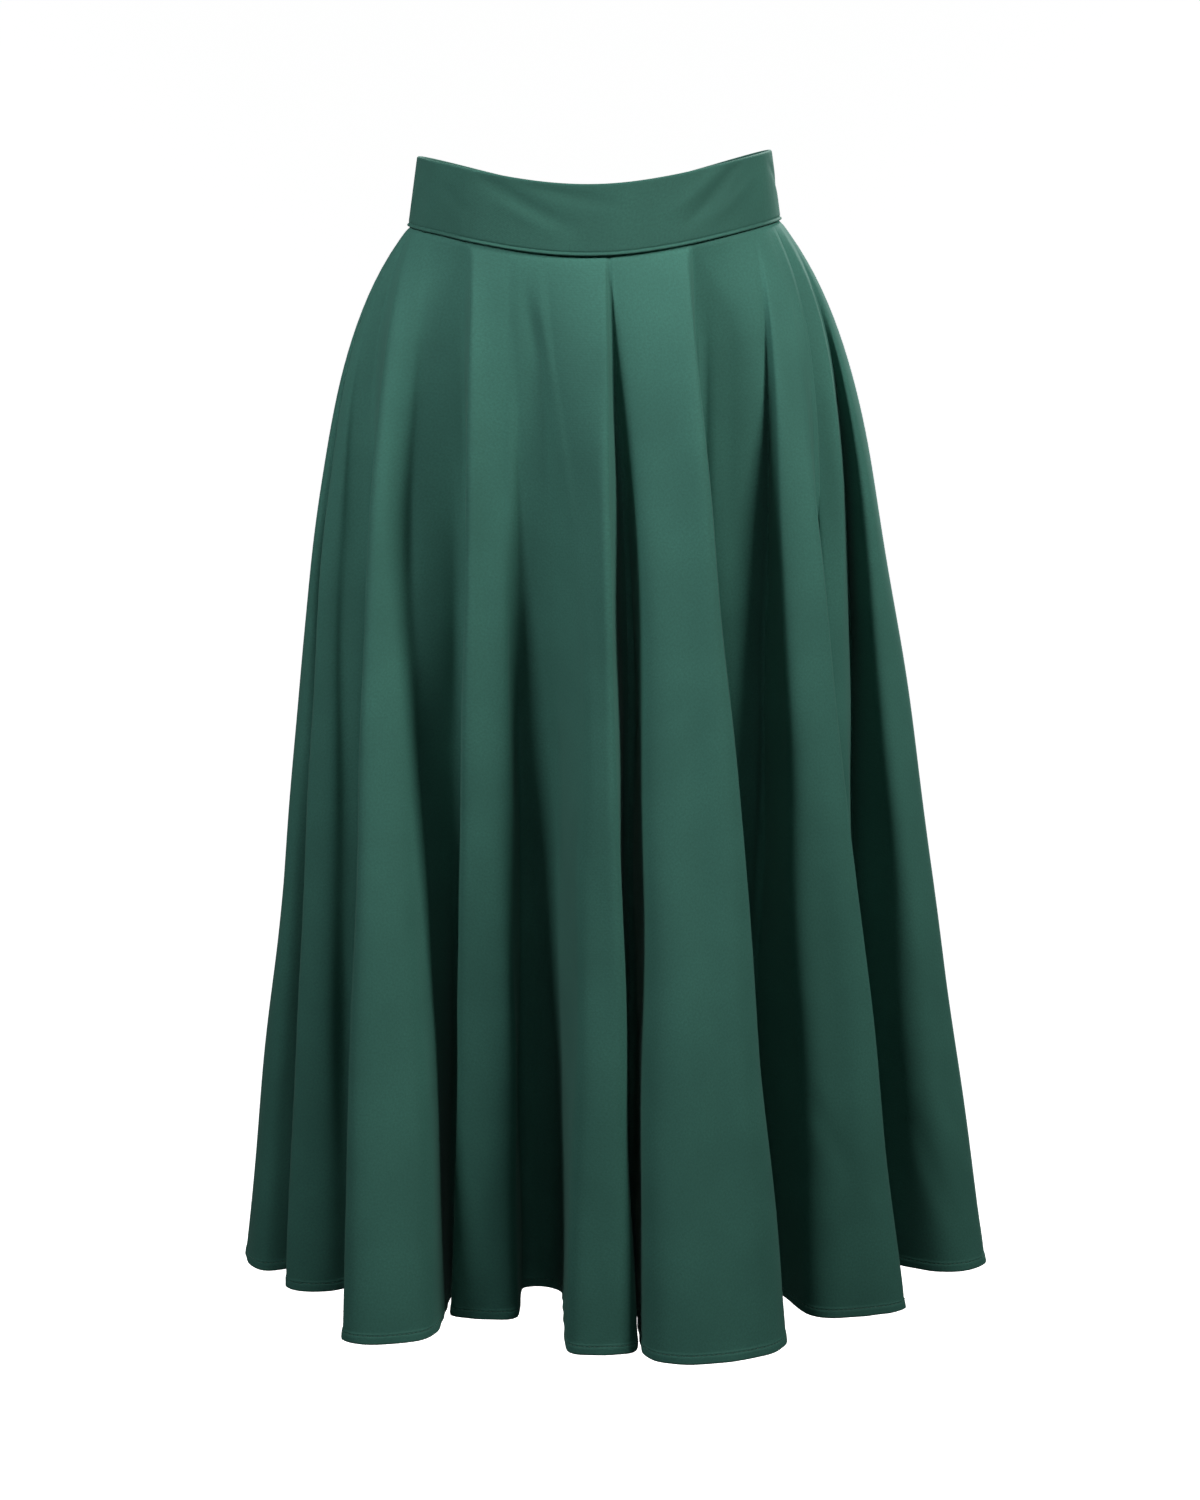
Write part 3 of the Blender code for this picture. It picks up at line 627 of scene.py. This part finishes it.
def cut_map(share, run):
    """Place on the flat cut, a quarter ring: radius by the share, and angle by the way along each row."""
    radius = WAIST_RADIUS + share[:, None] * FULL_LENGTH
    turn = (run / run[:, -1:] - 0.5) * math.pi / 2
    return np.dstack([radius * np.sin(turn), -radius * np.cos(turn)])


def hem_pucker(share, run):
    """Small waves along the hem, unevenly long, which fade as e^(-(height above the edge) / PUCKER_FADE)."""
    waves = np.sin(2 * np.pi * run / PUCKER_LENGTH + 1.7 * np.sin(2 * np.pi * run / (5.5 * PUCKER_LENGTH)))
    return PUCKER_RISE * waves * np.exp(-(1 - share[:, None]) * FULL_LENGTH / PUCKER_FADE)


def skirt_panel(name, start_seam, end_seam):
    """One quarter: the surface, plus its normal times the wall's offset, creases, seam dips and tuck."""
    places = even_places(skirt_middle, 1.0, start_seam, end_seam, COLUMN_SPACING, SEAM_COLUMNS)
    share, offset = skirt_profile()
    middle = skirt_middle(share, places)
    normal = outward(skirt_middle, share, places)
    run = run_along(middle)
    from_end = np.minimum(run, run[:, -1:] - run)
    dip = SEAM_DIP * np.exp(-((from_end / SEAM_DIP_WIDTH) ** 2))
    tuck = WAIST_TUCK * np.exp(-((share * FULL_LENGTH / WAIST_TUCK_DEPTH) ** 2))[:, None]
    held = 1 - np.exp(-((from_end / SEAM_HOLD) ** 2))
    shift = (crease_height(share, places, run) + hem_pucker(share, run)) * held
    shift += swell_height(share, places) - dip - tuck
    points = middle + normal * (offset[:, None] + shift)[..., None]
    draw_back(points)
    points[share == 0, :, 2] -= SEAM_GAP / 2
    return add_piece(name, points, crepe, cut_map(share, run))


PANELS = {
    "panel_front_right": (RIGHT_SIDE_SEAM, CENTRE_FRONT_SEAM),
    "panel_front_left": (CENTRE_FRONT_SEAM, LEFT_SIDE_SEAM),
    "panel_back_left": (LEFT_SIDE_SEAM, CENTRE_BACK_SEAM),
    "panel_back_right": (CENTRE_BACK_SEAM, RIGHT_SIDE_SEAM),
}
panels = {}
for node_name, seams in PANELS.items():
    cloth_name = node_name.replace("panel", "skirt")
    panels[node_name] = skirt_panel(cloth_name, *seams)
    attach(panels[node_name], "skirt")
    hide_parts(node_name)

# %% [markdown]
# ## Waistband
#
# The band is two layers of crepe with a stiffener between them, 46 mm high.  Its lower edge stands proud of
# the skirt as a rounded lip, with a fine groove above it.  A stiff band still creases a little where the
# wearer bends, so soft slanting creases cross it.

# %% Profile and creases of the waistband
BAND_THICKNESS = 2.4 * MM
LIP_HEIGHT = 2.2 * MM
LIP_RISE = 0.75 * MM
LIP_GROOVE = 0.35 * MM
LIP_GROOVE_HEIGHT = 2.75 * MM
LIP_GROOVE_WIDTH = 0.4 * MM
BAND_DIP = 0.5 * MM  # at its seams
BAND_DIP_WIDTH = 1.0 * MM
BAND_ROWS = 52

# angle and share of each end of the crease, its rise and its width in mm
BandCrease = namedtuple("BandCrease", "from_angle from_share to_angle to_share rise width")
BAND_CREASES = [BandCrease(*row) for row in (
    (-36, 0.88, -8, 0.42, -1.0, 6.0),
    (-30, 0.62, -14, 0.36, 0.4, 5.0),
    (-22, 0.94, 6, 0.72, -0.6, 5.0),
    (-58, 0.70, -44, 0.42, -0.5, 5.0),
    (31, 0.34, 53, 0.97, -1.3, 4.4),
    (25, 0.50, 46, 1.00, 0.7, 4.6),
    (40, 0.30, 62, 0.74, 0.7, 4.6),
    (-84, 0.30, -70, 0.74, 0.6, 4.0),
    (76, 0.80, 92, 0.42, -0.8, 3.8),
    (104, 0.36, 122, 0.80, -1.0, 3.6),
    (126, 0.84, 150, 0.46, 0.8, 3.8),
    (152, 0.30, 168, 0.66, -0.8, 3.4),
    (194, 0.70, 214, 0.34, -0.9, 3.6),
    (218, 0.40, 238, 0.82, 0.8, 3.8),
    (244, 0.78, 258, 0.40, -0.8, 3.6),
)]


def band_profile():
    """Shares and offsets of the closed profile, from the lip over the top edge and down the inside.

    Over each edge the offset follows the root of 1 - x^2.  The lip is a hump, and the groove a narrow dip."""
    lip_rows = [0, 0.15, 0.4, 0.8, 1.2, 1.6, 2.0, 2.3, 2.6, 2.9, 3.3, 3.9]
    edge_rows = [44.9, 45.3, 45.6, 45.8, 45.93, 46]
    even_rows = np.linspace(4.8, 44.4, BAND_ROWS - len(lip_rows) - len(edge_rows))
    height = np.concatenate([lip_rows, even_rows, edge_rows]) * MM
    half = np.full(len(height), BAND_THICKNESS / 2)
    lip = LIP_RISE * np.clip(1 - ((height - LIP_HEIGHT / 2) / (LIP_HEIGHT / 2)) ** 2, 0, 1)
    groove = LIP_GROOVE * np.exp(-(((height - LIP_GROOVE_HEIGHT) / LIP_GROOVE_WIDTH) ** 2))
    edge = np.minimum(height, BAND_HEIGHT - height)
    x = np.clip(1 - edge / (BAND_THICKNESS / 2), 0, 0.96)
    rounded = np.sqrt(1 - x**2)
    outer = half * rounded + lip - groove
    share = height / BAND_HEIGHT
    return np.concatenate([share[::-1], share]), np.concatenate([outer[::-1], -half * rounded])


def band_crease_height(share, points):
    """Rise x e^(-(distance to the crease's line / width)^2) x a fade past its ends, in the band's own plane.

    Across the band a point's coordinates are its way round, angle x mean radius, and its height."""
    radius = (SEAM_HALF_WIDTH + SEAM_HALF_DEPTH) / 2
    angle = np.degrees(np.arctan2(points[..., 0] / SEAM_HALF_WIDTH, -points[..., 1] / SEAM_HALF_DEPTH))
    height = np.zeros(angle.shape)
    for crease in BAND_CREASES:
        middle = (crease.from_angle + crease.to_angle) / 2
        u = np.radians((angle - middle + 180) % 360 - 180) * radius
        v = np.broadcast_to(share[:, None] * BAND_HEIGHT, u.shape)
        a = np.array([math.radians(crease.from_angle - middle) * radius, crease.from_share * BAND_HEIGHT])
        b = np.array([math.radians(crease.to_angle - middle) * radius, crease.to_share * BAND_HEIGHT])
        length = np.linalg.norm(b - a)
        along = ((u - a[0]) * (b - a)[0] + (v - a[1]) * (b - a)[1]) / length
        across = ((v - a[1]) * (b - a)[0] - (u - a[0]) * (b - a)[1]) / length
        shape = np.exp(-((across / (crease.width * MM)) ** 2))
        height += crease.rise * MM * shape * fade(along / length, -0.15, 1.15)
    return height * np.minimum(1, np.minimum(share, 1 - share) * 9)[:, None]


def band_piece(name, start_seam, end_seam):
    """One stretch of the waistband: its surface, plus the normal times the profile's offset and creases."""
    places = even_places(band_middle, 0.0, start_seam, end_seam, 1.3 * MM, np.array([0, 0.3, 0.8, 1.6]) * MM)
    share, offset = band_profile()
    middle = band_middle(share, places)
    normal = outward(band_middle, share, places)
    run = run_along(middle)
    from_end = np.minimum(run, run[:, -1:] - run)
    dip = BAND_DIP * np.exp(-((from_end / BAND_DIP_WIDTH) ** 2)) * np.sign(offset)[:, None]
    points = middle + normal * (offset[:, None] - dip + band_crease_height(share, middle))[..., None]
    draw_back(points)
    flat = np.dstack([run, np.broadcast_to(share[:, None] * BAND_HEIGHT, run.shape)])
    piece = add_piece(name, points, band_crepe_painted_shade, flat)
    print(f"  {name} is {run[share == 0][0, -1] * 1000:.0f} mm long at the seam")
    return piece


BANDS = {
    "waistband_front": (RIGHT_SIDE_SEAM, LEFT_SIDE_SEAM),
    "waistband_back_left": (LEFT_SIDE_SEAM, CENTRE_BACK_SEAM),
    "waistband_back_right": (CENTRE_BACK_SEAM, RIGHT_SIDE_SEAM),
}
bands = {}
for node_name, seams in BANDS.items():
    bands[node_name] = band_piece(node_name.replace("waistband", "band"), *seams)
    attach(bands[node_name], "skirt")
    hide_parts(node_name)

# %% [markdown]
# ## Small repeated pieces
#
# Stitches and zip teeth repeat hundreds of times.  Each is a short spindle of a few dozen faces.  All of one
# kind are worked out together as a single array and joined in one mesh, which keeps the file small and quick.

# %% Spindles joined in one mesh
def spindles(name, centres, along, up, half_length, half_width, half_height, material):
    """Joined spindles.  A spindle is rings of six points whose radius swells as the root of 1 - x^2."""
    rings = np.array([-0.98, -0.7, 0.0, 0.7, 0.98])
    turns = np.radians(np.arange(0, 360, 60))
    radius = np.sqrt(1 - rings**2)[:, None]
    side = np.cross(up, along)
    shape = np.stack([np.broadcast_to(rings[:, None] * half_length, (5, 6)),
                      radius * np.cos(turns) * half_width, radius * np.sin(turns) * half_height], axis=-1)
    axes = np.stack([along, side, up], axis=1)
    points = centres[:, None, :] + np.einsum("kc,ncx->nkx", shape.reshape(30, 3), axes)
    ring, turn = np.meshgrid(np.arange(4), np.arange(6), indexing="ij")
    a = ring * 6 + turn
    b = ring * 6 + (turn + 1) % 6
    tube = np.stack([a, b, b + 6, a + 6], axis=-1).reshape(-1, 4)
    ends = np.array([[0, 3, 2, 1], [0, 5, 4, 3], [24, 25, 26, 27], [24, 27, 28, 29]])
    quads = np.concatenate([tube, ends])
    every = (quads[None] + 30 * np.arange(len(centres))[:, None, None]).reshape(-1, 4)
    return make_mesh(name, points.reshape(-1, 3), every, material)


# %% [markdown]
# ## Thread
#
# The hem is sewn with polyester thread in the cloth's green.  Thread is smoother than crepe, so it shines a
# little more, while the groove that it pulls shows as a fine dark line 6 mm above the edge.

# %% Thread and the hem's stitches
def make_thread(name, colour, dark):
    """Spun polyester thread: a fine twist, drawn as bands 0.5 mm apart along each stitch."""
    material, tree, shader = new_material(name)
    place = node(tree, "ShaderNodeTexCoord")
    twist = node(tree, "ShaderNodeTexWave",
                 {"Vector": place.outputs["Object"], "Scale": WAVE_REPEAT / (0.5 * MM), "Distortion": 2.0},
                 bands_direction="DIAGONAL")
    mix = mixed(tree, twist.outputs["Fac"], linear(dark), linear(colour))
    tree.links.new(mix, shader.inputs["Base Color"])
    set_sockets(shader, {"Roughness": 0.55, "Sheen Weight": 0.2})
    return material


thread = make_thread("green_polyester_thread", "#2f6154", "#23493f")
STITCH_PITCH = 3.2 * MM
STITCH_LENGTH = 2.5 * MM
THREAD_WIDTH = 0.55 * MM


def hem_stitches(name, start_seam, end_seam):
    """Stitches evenly along the hem's stitch line, each lying on the outer face with its ends sunk in."""
    ends = np.array([0, 2.0]) * MM
    places = even_places(skirt_middle, 1.0, start_seam, end_seam, STITCH_PITCH, ends)[1:-1]
    share = np.array([1 - HEM_STITCH / FULL_LENGTH])
    fine = even_places(skirt_middle, 1.0, start_seam, end_seam, COLUMN_SPACING, ends)
    middle = skirt_middle(share, places)
    normal = outward(skirt_middle, share, places)[0]
    run = run_along(skirt_middle(share, fine))
    shift = np.interp(places, fine, (crease_height(share, fine, run) + hem_pucker(share, run))[0])
    shift += swell_height(share, places)[0]
    lift = HEM_THICKNESS / 2 - HEM_GROOVE + 0.12 * MM + shift
    centres = middle[0] + normal * lift[:, None]
    ahead = skirt_middle(share, places + 0.02)[0] - skirt_middle(share, places - 0.02)[0]
    along = ahead / np.linalg.norm(ahead, axis=1, keepdims=True)
    half_thread = THREAD_WIDTH / 2
    return spindles(name, centres, along, normal, STITCH_LENGTH / 2, half_thread, half_thread, thread)


stitches = {}
for node_name, seams in PANELS.items():
    stitches[node_name] = hem_stitches(node_name.replace("panel", "hem_stitches"), *seams)
    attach(stitches[node_name], "skirt")
    print(stitches[node_name].name, len(stitches[node_name].data.vertices) // 30, "stitches")

# %% [markdown]
# ## Zip
#
# The zip is sewn into the centre back seam.  Its two tapes lie inside the band and the skirt, with the coil
# of nylon teeth between them.  The slider and its pull tab are small castings, painted in the cloth's colour.
# Those keep their rigid shapes and only get a finish.

# %% Zip tape
ZIP_TAPE_WIDTH = 16.0 * MM
ZIP_TAPE_WALL = 0.8 * MM
ZIP_INSET = BAND_THICKNESS / 2 + 0.7 * MM
TOOTH_PITCH = 1.5 * MM
TOOTH_HALF_SIZE = (1.6 * MM, 0.32 * MM, 0.5 * MM)


def tape_line():
    """Points and normals down the zip's middle line, from the band's top to the zip's foot."""
    centre = np.array([float(seam_place(CENTRE_BACK_SEAM))])
    band_share = np.linspace(0.93, 0.04, 24)
    skirt_share = np.linspace(0.004, 0.22, 60)
    points = np.vstack([band_middle(band_share, centre)[:, 0], skirt_middle(skirt_share, centre)[:, 0]])
    normals = np.vstack([outward(band_middle, band_share, centre)[:, 0],
                         outward(skirt_middle, skirt_share, centre)[:, 0]])
    return points, normals


def make_tape(name, colour, pale):
    """Woven polyester tape: a fine rib across it, drawn 1 mm apart."""
    material, tree, shader = new_material(name)
    cut = node(tree, "ShaderNodeUVMap", uv_map="cut")
    rib = node(tree, "ShaderNodeTexWave",
               {"Vector": cut.outputs["UV"], "Scale": WAVE_REPEAT / (1.0 * MM), "Distortion": 0.6},
               bands_direction="Y")
    mix = mixed(tree, rib.outputs["Fac"], linear(colour), linear(pale))
    bump = node(tree, "ShaderNodeBump", {"Height": rib.outputs["Fac"], "Strength": 0.6, "Distance": 0.2 * MM})
    tree.links.new(mix, shader.inputs["Base Color"])
    tree.links.new(bump.outputs["Normal"], shader.inputs["Normal"])
    shader.inputs["Roughness"].default_value = 0.85
    return material


tape_cloth = make_tape("woven_zip_tape", "#20493e", "#2b5a4d")
line_points, line_normals = tape_line()
across = np.cross(line_normals, np.array([0, 0, 1.0]))
across /= np.linalg.norm(across, axis=1, keepdims=True)
print("zip line runs", round(float(run_along(line_points[None])[0, -1]) * 1000), "mm")


def zip_tape(name):
    """Flat strip: the zip's line plus its way across times the half width, with a bead at its middle.

    The closed profile crosses the strip on its outer face and comes back on its inner face."""
    u = np.linspace(-0.5, 0.5, 17)
    half = ZIP_TAPE_WALL / 2 * np.sqrt(np.clip(1 - (2.02 * np.abs(u)) ** 8, 0.01, 1))
    bead = 0.35 * MM * np.exp(-((u * ZIP_TAPE_WIDTH / (2.2 * MM)) ** 2))
    way = np.concatenate([u, u[::-1]]) * -ZIP_TAPE_WIDTH
    out = np.concatenate([half + bead, -(half + bead)[::-1]])
    base = line_points - line_normals * ZIP_INSET
    points = base[None] + across[None] * way[:, None, None] + line_normals[None] * out[:, None, None]
    run = run_along(base[None])[0]
    flat = np.dstack([np.broadcast_to(way[:, None], points.shape[:2]),
                      np.broadcast_to(run[None], points.shape[:2])])
    return add_piece(name, points, tape_cloth, flat)


tape = zip_tape("zip_tapes")
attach(tape, "skirt")
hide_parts("zip_tape")

# %% Zip teeth
def make_nylon(name, colour):
    """Nylon coil: smooth extruded plastic, a little cloudy."""
    material, tree, shader = new_material(name)
    place = node(tree, "ShaderNodeTexCoord")
    haze = node(tree, "ShaderNodeTexNoise", {"Vector": place.outputs["Object"], "Scale": 1 / (3 * MM)})
    mix = mixed(tree, haze.outputs["Fac"], linear(colour), linear("#3a6c5f"))
    tree.links.new(mix, shader.inputs["Base Color"])
    set_sockets(shader, {"Roughness": 0.4, "IOR": 1.53})
    return material


def zip_teeth(name):
    """Teeth down the zip's line, left and right in turn, each a spindle lying across it."""
    run = run_along(line_points[None])[0]
    wanted = np.arange(4 * MM, run[-1] - 3 * MM, TOOTH_PITCH / 2)
    centres = np.column_stack([np.interp(wanted, run, line_points[:, k]) for k in range(3)])
    normals = np.column_stack([np.interp(wanted, run, line_normals[:, k]) for k in range(3)])
    sideways = np.column_stack([np.interp(wanted, run, across[:, k]) for k in range(3)])
    turn = np.where(np.arange(len(wanted)) % 2, 0.9, -0.9)[:, None] * MM
    inside = normals * (ZIP_INSET + ZIP_TAPE_WALL / 2 + 0.55 * MM)
    material = make_nylon("nylon_coil", "#24554a")
    centres += sideways * turn - inside
    return spindles(name, centres, sideways, normals, *TOOTH_HALF_SIZE, material)


teeth = zip_teeth("zip_teeth")
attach(teeth, "skirt")
print("zip teeth:", len(teeth.data.vertices) // 30)

# %% [markdown]
# ## Painted metal
#
# Zip sliders are cast in zinc and painted.  The paint is smooth with a faint orange peel, and a fingertip's
# wear leaves fine specks.

# %% Finish of the slider and its pull tab
def make_enamel(name, colour, worn):
    """Baked enamel on zinc: glossy paint under a thin clear coat, with an orange peel about 1 mm across."""
    material, tree, shader = new_material(name)
    place = node(tree, "ShaderNodeTexCoord")
    spot = place.outputs["Object"]
    peel = node(tree, "ShaderNodeTexNoise", {"Vector": spot, "Scale": 1 / (1.0 * MM), "Detail": 1.0})
    speck = node(tree, "ShaderNodeTexNoise",
                 {"Vector": spot, "Scale": 1 / (0.6 * MM), "Detail": 4.0, "Roughness": 0.7})
    chips = node(tree, "ShaderNodeMapRange",
                 {"Value": speck.outputs["Fac"], "From Min": 0.62, "From Max": 0.70, "To Max": 0.6})
    mix = mixed(tree, chips.outputs["Result"], linear(colour), linear(worn))
    bump = node(tree, "ShaderNodeBump",
                {"Height": peel.outputs["Fac"], "Strength": 0.25, "Distance": 0.1 * MM})
    tree.links.new(mix, shader.inputs["Base Color"])
    tree.links.new(bump.outputs["Normal"], shader.inputs["Normal"])
    set_sockets(shader, {"Roughness": 0.34, "Metallic": 0.25, "Coat Weight": 0.35, "Coat Roughness": 0.12})
    return material


enamel = make_enamel("green_enamel_on_zinc", "#2b6152", "#6f8f86")
for node_name in ("zip_slider", "zip_pull"):
    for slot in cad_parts[node_name].material_slots:
        slot.material = enamel

# %% [markdown]
# ## The cut of each piece
#
# A sheet of cloth keeps its flat size however it hangs.  Each panel was cut as a quarter ring, which its UV
# map lays out, so its flat size is the smallest rectangle that holds a quarter ring, and its area is that
# ring's.  Neither is worked out here.

# %% [markdown]
# ## Studio
#
# The skirt is shown as a shop would show it: a soft light high on each side, the right one stronger, with
# grids that keep them off the hem, a weak one in front and one behind.  Light from the sides leaves the
# folds dark inside.  The floor is a wide white bowl, so no horizon shows from any side.

# %% Floor
FLOOR_DROP = 1.05  # from the waist to the floor, as when the skirt is worn
FLOOR_RADIUS = 2.6
BEND_RADIUS = 1.6
WALL_TOP = 5.5
SIDES = 64


def studio_bowl(name):
    """Surface of revolution: a flat floor, then a quarter circle up, then a wall."""
    t = np.linspace(0, 1, 13)[1:]
    bend = FLOOR_RADIUS + BEND_RADIUS * np.sin(t * math.pi / 2)
    radius = np.concatenate([[0.001, FLOOR_RADIUS / 2, FLOOR_RADIUS], bend, bend[-1:]])
    height = np.concatenate([[0, 0, 0], BEND_RADIUS * (1 - np.cos(t * math.pi / 2)), [WALL_TOP]]) - FLOOR_DROP
    turn = np.linspace(0, 2 * math.pi, SIDES + 1)
    grid = np.dstack([radius[:, None] * np.cos(turn), radius[:, None] * np.sin(turn),
                      np.broadcast_to(height[:, None], (len(radius), SIDES + 1))])
    row, column = np.meshgrid(np.arange(len(radius) - 1), np.arange(SIDES), indexing="ij")
    first = row * (SIDES + 1) + column
    quads = np.stack([first, first + SIDES + 1, first + SIDES + 2, first + 1], axis=-1).reshape(-1, 4)
    material, _, shader = new_material("matt_white_paint")
    set_sockets(shader, {"Base Color": linear("#f4f4f2"), "Roughness": 0.9,
                         "Emission Color": linear("#ffffff"), "Emission Strength": 0.97})
    bowl = make_mesh(name, grid.reshape(-1, 3), quads, material)
    bowl.visible_diffuse = False  # the floor doesn't light the folds from below
    bowl.visible_glossy = False
    bowl.visible_shadow = False
    return bowl


bowl = studio_bowl("studio_bowl")


# %% Lights
def area_light(name, place, aim, size, power, colour):
    """Square soft light at a place, turned to face its aim."""
    data = bpy.data.lights.new(name, "AREA")
    data.size = size
    data.energy = power
    data.spread = math.radians(64)  # a honeycomb grid on the softbox, so the hem gets less light
    data.color = linear(colour)[:3]
    lamp = bpy.data.objects.new(name, data)
    lamp.location = place
    lamp.rotation_euler = (Vector(aim) - Vector(place)).to_track_quat("-Z", "Y").to_euler()
    bpy.context.scene.collection.objects.link(lamp)
    return lamp


area_light("key_right", (1.7, -1.2, 1.5), (0, 0, 0.22), 0.7, 10.6, "#fffdf8")
area_light("key_left", (-1.65, -1.25, 1.4), (0, 0, 0.24), 0.7, 7.2, "#ffffff")
area_light("front", (0.0, -2.2, 2.2), (0, 0, -0.3), 0.8, 1.5, "#ffffff")
area_light("back", (0.9, 2.4, 1.5), (0, 0, -0.2), 0.9, 14, "#ffffff")
world = bpy.data.worlds.new("studio_air")
bpy.context.scene.world = world
world.use_nodes = True
sky = world.node_tree.nodes["Background"]
sky.inputs["Color"].default_value = linear("#eef4f6")
sky.inputs["Strength"].default_value = 0.03
bpy.context.scene.view_settings.view_transform = "Standard"

# %% Camera, level with the waist and looking slightly down
camera_data = bpy.data.cameras.new("camera")
camera_data.sensor_width = 36
camera_data.lens = 93.1
camera = bpy.data.objects.new("camera", camera_data)
camera.location = (0.0037, -2.6, 0.067)
camera.rotation_euler = (math.radians(90 - 9.72), 0, 0)
bpy.context.scene.collection.objects.link(camera)
bpy.context.scene.camera = camera
